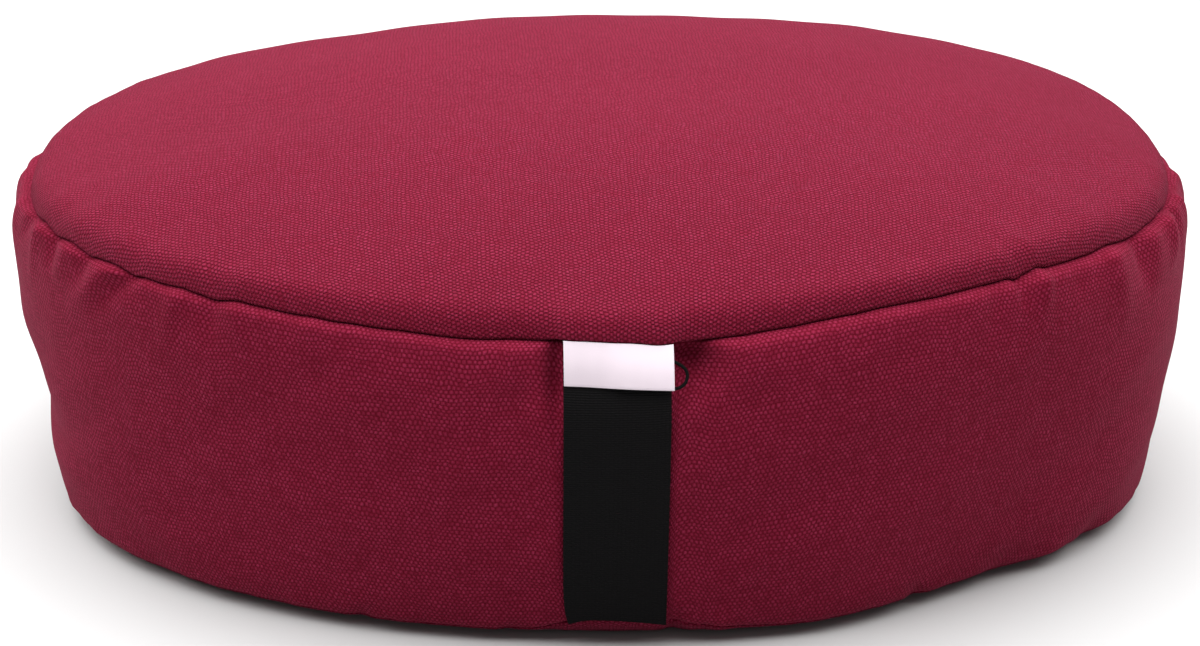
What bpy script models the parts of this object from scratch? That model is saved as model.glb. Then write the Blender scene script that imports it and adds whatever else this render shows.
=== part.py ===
"""Oval boxed meditation cushion with a webbing carry strap, a blank sewn-in label and a thin cord loop.

The cushion stands on Z = 0. +X is its long axis and -Y its front, where the strap is.
Angles run from +X (0) over the back (90) and the left end (180) to the front (270).
"""

import math
from collections import namedtuple

import bmesh
import bpy
from mathutils import Vector

MM = 0.001

# Oval of the top seam, seen from above, and its height over the floor.
SEAM_LENGTH = 0.462
SEAM_DEPTH = 0.352
OVAL_POWER = 2.12
SEAM_HEIGHT = 0.1275

# Top panel: a low dome that rolls over steeply just inside the seam.
DOME_RISE = 0.0305
DOME_POWER = 2.17
ROLL_RISE = 0.0105
ROLL_REACH = 0.0062

# Side band: it swells out under the top seam and draws in towards the bottom seam.
BAND_SWELL = 0.0085
SWELL_SKEW = 0.5
SWELL_POWER = 0.82
FOOT_DRAW_IN = 0.0028
FOOT_SEAM_HEIGHT = 0.0100
BASE_ROLL = 0.0170

# The strap is drawn tight over the band's shoulder and takes this share of its swell away, most at the
# top seam, less this far down it and less this far beyond the stretch round the strap's middle.
STRAP_PRESS = 0.8
PRESS_REACH = 0.013
PRESS_HALF_WIDTH = 0.027
PRESS_FADE = 0.012

# Both seams bite into the filled cover.
SEAM_BITE = 0.0018

COLUMNS = 144
TOP_RINGS = (0.12, 0.27, 0.43, 0.58, 0.71, 0.81, 0.88, 0.925, 0.955, 0.975, 0.988)
BAND_RINGS = (0.02, 0.05, 0.09, 0.14, 0.21, 0.29, 0.38, 0.47, 0.56, 0.65, 0.74, 0.83, 0.91, 0.97)
BASE_RINGS = (0.25, 0.55, 0.8, 1.0)

# How the hand-filled cover strays from the even oval: an angle in degrees, then millimetres that the
# top seam reaches out and lies higher, that the band swells more, and that the foot stands out more.
Station = namedtuple("Station", "angle reach lift swell foot")
STATIONS = (
    Station(0.0, -2.0, -1.0, 0.0, 1.5),
    Station(22.5, 1.0, 1.0, 0.0, 1.0),
    Station(45.0, 0.5, 1.5, 0.0, 0.5),
    Station(67.5, 0.0, -0.5, 0.0, 0.0),
    Station(90.0, 0.5, -1.0, 0.5, -0.5),
    Station(112.5, 0.5, -1.5, 1.0, -1.5),
    Station(135.0, -1.5, -2.0, 1.0, -2.5),
    Station(157.5, -2.5, 0.0, 1.0, -4.0),
    Station(180.0, -0.5, -0.5, 0.0, -3.0),
    Station(202.5, 0.5, 2.5, -5.0, 1.0),
    Station(225.0, 0.0, 0.0, -3.0, 0.5),
    Station(247.5, -0.5, -2.5, -1.0, -0.5),
    Station(270.0, 0.5, -4.5, 0.5, 0.0),
    Station(292.5, 2.5, 0.5, 1.0, 1.0),
    Station(315.0, -1.5, 4.0, 1.0, -2.5),
    Station(337.5, 0.0, 2.5, 0.5, 3.0),
)

# Gathers where the band is eased into a seam: the angle at the seam, then millimetres for the half
# width, the height (negative is a hollow), how far down the band it runs, and its sideways lean.
Gather = namedtuple("Gather", "angle half_width height run lean")
TOP_GATHERS = (
    Gather(191.5, 8.0, -2.2, 32.0, -16.0),
    Gather(198.0, 7.0, 2.0, 34.0, -20.0),
    Gather(201.5, 5.0, -1.6, 24.0, -16.0),
    Gather(204.5, 6.0, 1.6, 22.0, -20.0),
    Gather(207.8, 5.0, -1.8, 22.0, -18.0),
    Gather(210.8, 5.5, 2.2, 32.0, -32.0),
    Gather(213.5, 6.0, -1.4, 24.0, -20.0),
    Gather(220.5, 8.0, 1.2, 28.0, -10.0),
    Gather(226.5, 7.0, 0.8, 20.0, -4.0),
    Gather(259.0, 7.0, -0.8, 20.0, 0.0),
    Gather(280.0, 8.0, -1.0, 20.0, 0.0),
    Gather(316.3, 5.0, -1.6, 12.0, 2.0),
    Gather(319.0, 6.0, 1.2, 18.0, 4.0),
    Gather(328.0, 6.0, 2.4, 36.0, 28.0),
    Gather(331.5, 6.0, -2.2, 32.0, 22.0),
    Gather(337.5, 6.0, 1.8, 22.0, 16.0),
    Gather(342.0, 6.0, -2.0, 24.0, 14.0),
    Gather(348.0, 7.0, 1.6, 22.0, 8.0),
    Gather(354.0, 7.0, -1.8, 24.0, 4.0),
    Gather(6.0, 8.0, -1.4, 24.0, 3.0),
    Gather(22.0, 9.0, -1.4, 24.0, 2.0),
    Gather(48.0, 10.0, -1.2, 24.0, 0.0),
    Gather(76.0, 10.0, -1.2, 22.0, 0.0),
    Gather(104.0, 9.0, -1.4, 24.0, 0.0),
    Gather(128.0, 9.0, -1.2, 26.0, 0.0),
    Gather(150.5, 7.0, -1.8, 26.0, -2.0),
    Gather(161.5, 7.0, -1.8, 26.0, -4.0),
    Gather(173.0, 7.0, -2.0, 28.0, -6.0),
)
FOOT_GATHERS = (
    Gather(12.0, 12.0, -1.6, 20.0, 0.0),
    Gather(55.0, 12.0, -1.4, 18.0, 0.0),
    Gather(118.0, 12.0, -1.4, 18.0, 0.0),
    Gather(165.0, 12.0, -1.6, 20.0, 0.0),
    Gather(213.0, 12.0, -1.4, 20.0, 0.0),
    Gather(239.0, 9.0, -1.6, 14.0, 0.0),
    Gather(256.0, 9.0, -1.2, 12.0, 0.0),
    Gather(276.5, 7.0, -2.0, 16.0, 0.0),
    Gather(306.5, 9.0, -1.6, 14.0, 0.0),
    Gather(317.5, 9.0, -1.8, 16.0, 0.0),
    Gather(331.0, 9.0, -2.8, 18.0, 0.0),
)
# A gather starts with this share of its height at the seam and has all of it this much further on.
GATHER_START = 0.35
GATHER_GROWTH = 0.005

# A low hollow in the left end, above the foot: angle, height over the floor and reach both ways.
DENT_ANGLE = 188.0
DENT_HEIGHT = 0.062
DENT_HALF_WIDTH = 0.034
DENT_HALF_TALL = 0.017
DENT_DEPTH = 0.0042

# Webbing strap on the front, a little left of the middle. It is found within FRONT_REACH degrees of
# the front, halving the search HALVINGS times.
FRONT = 270.0
FRONT_REACH = 15.0
HALVINGS = 40
STRAP_ASIDE = -0.004
STRAP_WIDTH = 0.038
STRAP_THICKNESS = 0.0015
STRAP_COLUMNS = 4
CLEARANCE = 0.0003
SLOPE_STEP = 0.004

# Blank label over the top of the strap.
LABEL_WIDTH = 0.040
LABEL_THICKNESS = 0.0010
LABEL_RINGS = 7
LABEL_COLUMNS = 4
LABEL_LAST_RING = 0.128

# Cord loop between strap and label: points in millimetres, sideways from the strap's centre line
# and down from the top seam.
CORD_DIAMETER = 0.0012
CORD_STEP = 0.0026
LOOP_ROUTE = (
    (12.4, 3.0),
    (14.0, 4.0),
    (16.2, 4.8),
    (18.6, 5.6),
    (20.9, 6.9),
    (23.4, 8.6),
    (24.5, 10.9),
    (23.6, 13.4),
    (21.0, 14.8),
    (17.6, 14.2),
    (14.2, 12.2),
    (11.6, 9.4),
    (10.0, 6.6),
    (9.2, 3.0),
)


def clear_scene():
    for item in list(bpy.data.objects):
        bpy.data.objects.remove(item, do_unlink=True)


def make_material(name, colour, roughness, metallic=0.0):
    material = bpy.data.materials.new(name)
    material.use_nodes = True
    shader = material.node_tree.nodes["Principled BSDF"]
    shader.inputs["Base Color"].default_value = (*colour, 1.0)
    shader.inputs["Roughness"].default_value = roughness
    shader.inputs["Metallic"].default_value = metallic
    material.diffuse_color = (*colour, 1.0)
    return material


def station_value(angle, column):
    """One column of STATIONS in metres, read from a smooth closed curve through its rows."""
    step = 360.0 / len(STATIONS)
    place = (angle % 360.0) / step
    row = int(place)
    u = place - row
    before, start, end, after = (
        getattr(STATIONS[(row + k) % len(STATIONS)], column) for k in (-1, 0, 1, 2)
    )
    slope_in = (end - before) / 2
    slope_out = (after - start) / 2
    blend = (2 * u**3 - 3 * u**2 + 1) * start + (u**3 - 2 * u**2 + u) * slope_in
    blend += (3 * u**2 - 2 * u**3) * end + (u**3 - u**2) * slope_out
    return blend * MM


def seam_radius(angle):
    """Distance from the centre to the top seam, seen from above."""
    x = abs(math.cos(math.radians(angle))) / (SEAM_LENGTH / 2)
    y = abs(math.sin(math.radians(angle))) / (SEAM_DEPTH / 2)
    return (x**OVAL_POWER + y**OVAL_POWER) ** (-1 / OVAL_POWER) + station_value(angle, "reach")


def seam_plan(angle):
    turn = math.radians(angle)
    return seam_radius(angle) * Vector((math.cos(turn), math.sin(turn), 0.0))


def outward(angle):
    """Level direction square to the seam, pointing out of the cushion."""
    along = seam_plan(angle + 1.0) - seam_plan(angle - 1.0)
    return Vector((along.y, -along.x, 0.0)).normalized()


def seam_height(angle):
    return SEAM_HEIGHT + station_value(angle, "lift")


def angle_gap(angle, centre):
    """Degrees from centre to angle, the short way round."""
    return (angle - centre + 180.0) % 360.0 - 180.0


def gather_push(gathers, angle, distance):
    """How far the gathers move the band out, at this distance from their seam."""
    push = 0.0
    arc = seam_radius(angle) * math.radians(1.0)
    for gather in gathers:
        travel = distance / (gather.run * MM)
        if travel >= 1.0:
            continue
        aside = angle_gap(angle, gather.angle) * arc - gather.lean * MM * travel
        across = math.exp(-((aside / (gather.half_width * MM)) ** 2))
        rise = min(1.0, GATHER_START + distance / GATHER_GROWTH)
        push += gather.height * MM * across * rise * (1.0 - travel**2) ** 2
    return push


def dent_push(angle, height):
    aside = angle_gap(angle, DENT_ANGLE) * math.radians(seam_radius(angle))
    level = (height - DENT_HEIGHT) / DENT_HALF_TALL
    return -DENT_DEPTH * math.exp(-((aside / DENT_HALF_WIDTH) ** 2) - level**2)


def strap_press(angle, fall):
    """Share of the band's swell that the tight strap takes away, this far below the top seam."""
    plan = seam_plan(angle)
    if plan.y > 0.0:
        return 0.0
    aside = max(0.0, abs(plan.x - STRAP_ASIDE) - PRESS_HALF_WIDTH) / PRESS_FADE
    return STRAP_PRESS * math.exp(-(aside**2) - (fall / PRESS_REACH) ** 2)


def band_point(angle, drop, folds=True):
    """Point of the side band: drop runs from 0 at the top seam to 1 at the bottom seam."""
    top = seam_height(angle)
    height = top + (FOOT_SEAM_HEIGHT - top) * drop
    swell = (BAND_SWELL + station_value(angle, "swell")) * (1.0 - strap_press(angle, top - height))
    foot = station_value(angle, "foot") - FOOT_DRAW_IN
    push = swell * math.sin(math.pi * drop**SWELL_SKEW) ** SWELL_POWER + foot * drop
    if folds:
        push += gather_push(TOP_GATHERS, angle, top - height)
        push += gather_push(FOOT_GATHERS, angle, height - FOOT_SEAM_HEIGHT)
        push += dent_push(angle, height)
    return seam_plan(angle) + outward(angle) * push + Vector((0.0, 0.0, height))


def top_point(angle, share):
    """Point of the top panel: share runs from 0 at the centre to 1 at the top seam."""
    inside = (1.0 - share) * seam_radius(angle)
    height = SEAM_HEIGHT + station_value(angle, "lift") * share**3
    height += DOME_RISE * (1.0 - share**DOME_POWER)
    height += ROLL_RISE * (1.0 - math.exp(-inside / ROLL_REACH))
    return seam_plan(angle) * share + Vector((0.0, 0.0, height))


def top_seam_point(angle):
    point = seam_plan(angle) + Vector((0.0, 0.0, seam_height(angle)))
    return point - outward(angle) * SEAM_BITE - Vector((0.0, 0.0, SEAM_BITE / 2))


def foot_push(angle):
    return station_value(angle, "foot") - FOOT_DRAW_IN + gather_push(FOOT_GATHERS, angle, 0.0)


def foot_seam_point(angle):
    point = seam_plan(angle) + outward(angle) * (foot_push(angle) - SEAM_BITE)
    return point + Vector((0.0, 0.0, FOOT_SEAM_HEIGHT))


def base_point(angle, share):
    """Point of the bottom panel where it curls in under the bottom seam to the floor."""
    reach = foot_push(angle) - share * BASE_ROLL
    height = FOOT_SEAM_HEIGHT * (1.0 - share) ** 2
    return seam_plan(angle) + outward(angle) * reach + Vector((0.0, 0.0, height))


def add_object(name, mesh_builder, material):
    mesh = bpy.data.meshes.new(name)
    bmesh.ops.recalc_face_normals(mesh_builder, faces=mesh_builder.faces)
    mesh_builder.to_mesh(mesh)
    mesh_builder.free()
    mesh.shade_smooth()
    mesh.materials.append(material)
    item = bpy.data.objects.new(name, mesh)
    bpy.context.collection.objects.link(item)
    return item


def ring_of(builder, place):
    return [builder.verts.new(place(360.0 * k / COLUMNS)) for k in range(COLUMNS)]


def make_cushion():
    """One closed body: top panel, top seam, side band, bottom seam and bottom panel, ring by ring."""
    builder = bmesh.new()
    rings = [ring_of(builder, lambda a, s=share: top_point(a, s)) for share in TOP_RINGS]
    rings.append(ring_of(builder, top_seam_point))
    rings += [ring_of(builder, lambda a, d=drop: band_point(a, d)) for drop in BAND_RINGS]
    rings.append(ring_of(builder, foot_seam_point))
    rings += [ring_of(builder, lambda a, s=share: base_point(a, s)) for share in BASE_RINGS]
    for upper, lower in zip(rings, rings[1:]):
        for k in range(COLUMNS):
            after = (k + 1) % COLUMNS
            builder.faces.new((upper[k], lower[k], lower[after], upper[after]))
    centre = builder.verts.new((0.0, 0.0, top_point(0.0, 0.0).z))
    for k in range(COLUMNS):
        builder.faces.new((centre, rings[0][k], rings[0][(k + 1) % COLUMNS]))
    builder.faces.new(reversed(rings[-1]))
    return add_object("cushion", builder, make_material("raspberry_duck", (0.36, 0.028, 0.066), 0.85))


def angle_at(sideways):
    """Angle of the point of the front seam that lies this far right of the cushion's middle."""
    low = FRONT - FRONT_REACH
    high = FRONT + FRONT_REACH
    for _ in range(HALVINGS):
        middle = (low + high) / 2
        if seam_plan(middle).x < sideways:
            low = middle
        else:
            high = middle
    return (low + high) / 2


def front_point(aside, drop, proud):
    """Point this far off the unfolded band, square to its slope, aside of the strap's middle."""
    angle = angle_at(STRAP_ASIDE + aside)
    above = band_point(angle, max(0.0, drop - SLOPE_STEP), folds=False)
    below = band_point(angle, drop + SLOPE_STEP, folds=False)
    off = Vector((0.0, below.z - above.z, above.y - below.y)).normalized()
    point = band_point(angle, drop, folds=False) + off * proud
    return Vector((STRAP_ASIDE + aside, point.y, point.z))


def add_strip(name, width, columns, drops, inner, thickness, material):
    """Flat strip that follows the band over the given drops, its back this far off the band."""
    builder = bmesh.new()
    sides = [width * (k / columns - 0.5) for k in range(columns + 1)]
    layers = [
        [[builder.verts.new(front_point(x, drop, inner + extra)) for x in sides] for drop in drops]
        for extra in (0.0, thickness)
    ]
    back, face = layers
    last_row = len(drops) - 1
    for layer in layers:
        for i in range(last_row):
            for k in range(columns):
                corners = (layer[i][k], layer[i + 1][k], layer[i + 1][k + 1], layer[i][k + 1])
                builder.faces.new(corners)
    for i in range(last_row):
        for k in (0, columns):
            builder.faces.new((back[i][k], back[i + 1][k], face[i + 1][k], face[i][k]))
    for k in range(columns):
        for i in (0, last_row):
            builder.faces.new((back[i][k], back[i][k + 1], face[i][k + 1], face[i][k]))
    return add_object(name, builder, material)


def make_strap():
    """Webbing from just under the top seam to just above the bottom seam."""
    black = make_material("black_webbing", (0.012, 0.012, 0.013), 0.75)
    add_strip(
        "carry_strap", STRAP_WIDTH, STRAP_COLUMNS, BAND_RINGS, CLEARANCE, STRAP_THICKNESS, black
    )


def label_proud():
    """The label's back lies over the strap and the cord, each with its clearance."""
    return 3 * CLEARANCE + STRAP_THICKNESS + CORD_DIAMETER


def make_label():
    white = make_material("white_label", (0.82, 0.82, 0.83), 0.6)
    first = BAND_RINGS[0]
    drops = [first + (LABEL_LAST_RING - first) * k / LABEL_RINGS for k in range(LABEL_RINGS + 1)]
    add_strip("label", LABEL_WIDTH, LABEL_COLUMNS, drops, label_proud(), LABEL_THICKNESS, white)


def smooth_route(points, step):
    """Points about one step apart on a smooth open curve through the route's own points."""
    ends = [points[0] * 2 - points[1], *points, points[-1] * 2 - points[-2]]
    route = []
    for before, start, end, after in zip(ends, ends[1:], ends[2:], ends[3:]):
        pieces = max(1, round((end - start).length / step))
        for k in range(pieces):
            u = k / pieces
            bend = (2 * before - 5 * start + 4 * end - after) * u * u
            bend += (3 * start - before - 3 * end + after) * u**3
            route.append(start + ((end - before) * u + bend) / 2)
    route.append(points[-1])
    return route


def make_cord_loop():
    """Thin cord whose two ends go into the seam behind the label."""
    proud = 2 * CLEARANCE + STRAP_THICKNESS + CORD_DIAMETER / 2
    height = seam_height(FRONT) - FOOT_SEAM_HEIGHT
    places = [front_point(x * MM, down * MM / height, proud) for x, down in LOOP_ROUTE]
    route = smooth_route(places, CORD_STEP)
    curve = bpy.data.curves.new("cord_loop", "CURVE")
    curve.dimensions = "3D"
    curve.bevel_depth = CORD_DIAMETER / 2
    curve.bevel_resolution = 2
    curve.use_fill_caps = True
    spline = curve.splines.new("POLY")
    spline.points.add(len(route) - 1)
    for point, place in zip(spline.points, route):
        point.co = (*place, 1.0)
    curve.materials.append(make_material("black_cord", (0.014, 0.014, 0.015), 0.7))
    item = bpy.data.objects.new("cord_loop", curve)
    bpy.context.collection.objects.link(item)


clear_scene()
make_cushion()
make_strap()
make_label()
make_cord_loop()
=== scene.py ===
import math
from collections import namedtuple

import bpy
import numpy as np
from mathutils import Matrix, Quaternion, Vector


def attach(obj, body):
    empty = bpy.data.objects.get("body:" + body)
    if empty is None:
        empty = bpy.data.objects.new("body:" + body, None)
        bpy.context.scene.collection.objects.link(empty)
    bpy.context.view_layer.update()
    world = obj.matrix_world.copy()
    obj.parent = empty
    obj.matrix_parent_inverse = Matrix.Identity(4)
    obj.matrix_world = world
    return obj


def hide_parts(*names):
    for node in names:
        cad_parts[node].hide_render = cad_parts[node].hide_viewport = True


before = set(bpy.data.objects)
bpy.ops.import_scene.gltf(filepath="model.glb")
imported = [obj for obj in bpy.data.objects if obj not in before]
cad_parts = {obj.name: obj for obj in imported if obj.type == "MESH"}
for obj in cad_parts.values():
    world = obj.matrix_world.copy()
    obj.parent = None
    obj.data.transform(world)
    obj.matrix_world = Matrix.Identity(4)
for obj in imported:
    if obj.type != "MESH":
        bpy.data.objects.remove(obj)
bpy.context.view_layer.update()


# ---- Camera ----------------------------------------------------------------------------------------
# A product shot through a long lens from a step away: the cushion fills the picture, seen from a little
# left of its middle and from well above the seam, so that most of the top panel shows.
VIEW_TARGET = Vector((-0.0004, 0.0, 0.058))
VIEW_DISTANCE = 1.203
VIEW_ELEVATION = math.radians(22.56)
VIEW_LEFT = math.radians(3.09)
VIEW_ROLL = math.radians(0.27)
LENS_MM = 86.6
SENSOR_MM = 36.0

camera_data = bpy.data.cameras.new("product_camera")
camera_data.lens = LENS_MM
camera_data.sensor_width = SENSOR_MM
camera = bpy.data.objects.new("product_camera", camera_data)
bpy.context.collection.objects.link(camera)
view_back = Vector((
    -math.sin(VIEW_LEFT) * math.cos(VIEW_ELEVATION),
    -math.cos(VIEW_LEFT) * math.cos(VIEW_ELEVATION),
    math.sin(VIEW_ELEVATION),
))
camera.location = VIEW_TARGET + view_back * VIEW_DISTANCE
camera.rotation_mode = "QUATERNION"
camera.rotation_quaternion = view_back.to_track_quat("Z", "Y") @ Quaternion((0, 0, 1), VIEW_ROLL)
bpy.context.scene.camera = camera
bpy.context.scene.view_settings.view_transform = "Standard"


# ---- Cord loop -------------------------------------------------------------------------------------
# A thin black braided cord, doubled into a loop with both ends caught in the top seam behind the label.
# It lies on the strap, and only its bend shows at the label's right edge.
CORD_DIAMETER = 0.0012
CORD_STEP = 0.0007
CORD_ROUNDNESS = 4
BRAID_DARK = (0.001, 0.001, 0.001, 1.0)
BRAID_PALE = (0.006, 0.006, 0.006, 1.0)
BRAID_GRAIN = 2600.0
BRAID_RELIEF = 0.0002
# The route's points, in metres, from one end in the seam round the bend to the other.
LOOP_ROUTE = (
    (0.0084, -0.1804, 0.1210),
    (0.0100, -0.1807, 0.1202),
    (0.0122, -0.1810, 0.1196),
    (0.0146, -0.1813, 0.1190),
    (0.0169, -0.1818, 0.1179),
    (0.0194, -0.1826, 0.1164),
    (0.0205, -0.1837, 0.1142),
    (0.0196, -0.1850, 0.1115),
    (0.0170, -0.1856, 0.1099),
    (0.0136, -0.1853, 0.1103),
    (0.0102, -0.1842, 0.1123),
    (0.0076, -0.1828, 0.1150),
    (0.0060, -0.1815, 0.1176),
    (0.0052, -0.1804, 0.1208),
)


def smooth_route(points, step):
    """Evenly close points on a smooth open curve through the route's own points."""
    ends = [points[0] * 2 - points[1], *points, points[-1] * 2 - points[-2]]
    route = []
    for before, start, end, after in zip(ends, ends[1:], ends[2:], ends[3:]):
        pieces = max(2, round((end - start).length / step))
        for k in range(pieces):
            u = k / pieces
            bend = (2 * before - 5 * start + 4 * end - after) * u * u
            bend += (3 * start - before - 3 * end + after) * u**3
            route.append(start + ((end - before) * u + bend) / 2)
    route.append(points[-1])
    return route


def add_node(tree, kind, inputs=(), **settings):
    """A shader node with its settings, and its inputs set or linked, by name or by number."""
    node = tree.nodes.new(kind)
    for name, value in settings.items():
        setattr(node, name, value)
    for name, value in dict(inputs).items():
        if isinstance(value, bpy.types.NodeSocket):
            tree.links.new(value, node.inputs[name])
        else:
            node.inputs[name].default_value = value
    return node


def new_material(name):
    """A material with only a shader and its output: the material, its tree and the shader."""
    material = bpy.data.materials.new(name)
    material.use_nodes = True
    tree = material.node_tree
    return material, tree, tree.nodes["Principled BSDF"]


def sums(tree, operation, *values):
    """The output of one Math node."""
    return add_node(tree, "ShaderNodeMath", dict(enumerate(values)), operation=operation).outputs[0]


def mixed(tree, share, dark, pale):
    """A colour between these two."""
    return add_node(tree, "ShaderNodeMix", {0: share, 6: dark, 7: pale}, data_type="RGBA").outputs[2]


def dress(tree, shader, colour, height, depth, roughness, gloss):
    """Give the shader its colour, its relief to this depth in metres, its roughness and its gloss."""
    relief = add_node(tree, "ShaderNodeBump", {"Height": height, "Distance": depth})
    tree.links.new(colour, shader.inputs["Base Color"])
    tree.links.new(relief.outputs["Normal"], shader.inputs["Normal"])
    shader.inputs["Roughness"].default_value = roughness
    shader.inputs["Specular IOR Level"].default_value = gloss


def braid_material():
    """Black cord: a fine cross-braid that catches a little light."""
    material, tree, shader = new_material("black_braid")
    place = add_node(tree, "ShaderNodeTexCoord").outputs["Object"]
    braid = add_node(tree, "ShaderNodeTexNoise", {"Vector": place, "Scale": BRAID_GRAIN, "Detail": 2.0})
    height = braid.outputs["Fac"]
    colour = mixed(tree, height, BRAID_DARK, BRAID_PALE)
    dress(tree, shader, colour, height, BRAID_RELIEF, roughness=0.8, gloss=0.06)
    return material


loop_points = smooth_route([Vector(point) for point in LOOP_ROUTE], CORD_STEP)
loop_curve = bpy.data.curves.new("hang_loop", "CURVE")
loop_curve.dimensions = "3D"
loop_curve.bevel_depth = CORD_DIAMETER / 2
loop_curve.bevel_resolution = CORD_ROUNDNESS
loop_curve.use_fill_caps = True
loop_spline = loop_curve.splines.new("POLY")
loop_spline.points.add(len(loop_points) - 1)
for spline_point, place in zip(loop_spline.points, loop_points):
    spline_point.co = (*place, 1.0)
loop_curve.materials.append(braid_material())
hang_loop = bpy.data.objects.new("hang_loop", loop_curve)
bpy.context.collection.objects.link(hang_loop)
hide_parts("cord_loop")
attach(hang_loop, "root")


# ---- Cushion ---------------------------------------------------------------------------------------
# The filled body: an oval top panel, a side band and an oval bottom panel of one heavy cotton duck, sewn
# edge to edge and filled hard with hulls. The panels puff up beside their seams, so each seam lies in a
# narrow groove, and the band is gathered where it is eased round the two ends.
MM = 0.001

# The top seam's oval, seen from above, and its height over the floor.
SEAM_LENGTH = 0.462
SEAM_DEPTH = 0.352
OVAL_POWER = 2.12
SEAM_HEIGHT = 0.1275

# The top panel: a low dome, which rolls over near the seam and turns up steeply out of the groove.
DOME_RISE = 0.0276
DOME_POWER = 2.06
ROLL_RISE = 0.0066
ROLL_REACH = 0.0066
LIP_RISE = 0.0056
LIP_REACH = 0.0010

# How far the band swells out between the seams, and how far in the bottom seam lies.
BAND_SWELL = 0.0085
SWELL_SKEW = 0.5
SWELL_POWER = 0.82
FOOT_DRAW_IN = 0.0028
BASE_ROLL = 0.0170

# The bottom seam lies low and tucked in under the band's edge. Only by the strap's end is it drawn up
# into sight.
FOOT_SEAM_HEIGHT = 0.0050
FOOT_TUCK = 0.0028
FOOT_TUCK_REACH = 0.0040
SHOWN_SEAM_RISE = 0.0070
SHOWN_SEAM_X = -0.012
SHOWN_SEAM_LEFT = 0.016
SHOWN_SEAM_RIGHT = 0.045

# How deep each seam's groove goes, and over what distance the cloth comes out of it.
GROOVE_DEPTH = 0.0030
GROOVE_MOUTH = 0.0006
FOOT_GROOVE_DEPTH = 0.0024
FOOT_GROOVE_MOUTH = 0.0012

# The mesh: columns round the cushion, and rings over the top, the band, the base's curl and its flat.
COLUMNS = 640
TOP_RINGS = 44
BAND_RINGS = 74
BASE_RINGS = 16
FLOOR_RINGS = 8

# How the hand-filled cover strays from the even oval: an angle in degrees, then millimetres that the
# top seam reaches out and lies higher, that the band swells more, and that the foot stands out more.
Station = namedtuple("Station", "angle reach lift swell foot")
STATIONS = (
    Station(0.0, -2.8, 0.0, 1.0, 0.9),
    Station(22.5, 0.0, 1.0, 1.0, 1.0),
    Station(45.0, 0.5, 1.5, 0.0, 0.5),
    Station(67.5, 0.0, -0.5, 0.0, 0.0),
    Station(90.0, 0.5, -1.0, 0.5, -0.5),
    Station(112.5, 0.5, -2.2, 1.0, -1.5),
    Station(135.0, -1.5, -2.6, 1.0, -2.5),
    Station(157.5, -4.0, 0.0, 2.5, -4.0),
    Station(180.0, -2.5, -0.5, 2.0, -3.8),
    Station(202.5, 0.5, 2.5, -4.5, 0.5),
    Station(225.0, 0.0, 0.0, -3.0, -1.2),
    Station(247.5, -0.5, -2.5, -1.0, -0.5),
    Station(270.0, 0.5, -4.5, 0.5, 0.0),
    Station(292.5, 2.5, 0.5, 1.0, 0.5),
    Station(315.0, -1.5, 4.0, 1.0, -3.8),
    Station(337.5, -0.7, 2.5, 0.5, 2.2),
)

# The top panel's edge where it comes out of the groove and turns up, in millimetres from the seam's line.
LipStep = namedtuple("LipStep", "out up")
TOP_LIP = (
    LipStep(-0.86, 4.05),
    LipStep(-0.70, 3.45),
    LipStep(-0.54, 2.80),
    LipStep(-0.42, 2.10),
    LipStep(-0.36, 1.50),
    LipStep(-0.42, 1.00),
    LipStep(-0.62, 0.60),
    LipStep(-1.00, 0.30),
    LipStep(-1.50, 0.10),
    LipStep(-2.10, 0.00),
)
# The top panel's last ring lies this far inside the seam's line, and the line's unevenness dies out over
# this distance.
LIP_INSET = 0.0010
RIPPLE_REACH = 0.009

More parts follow.
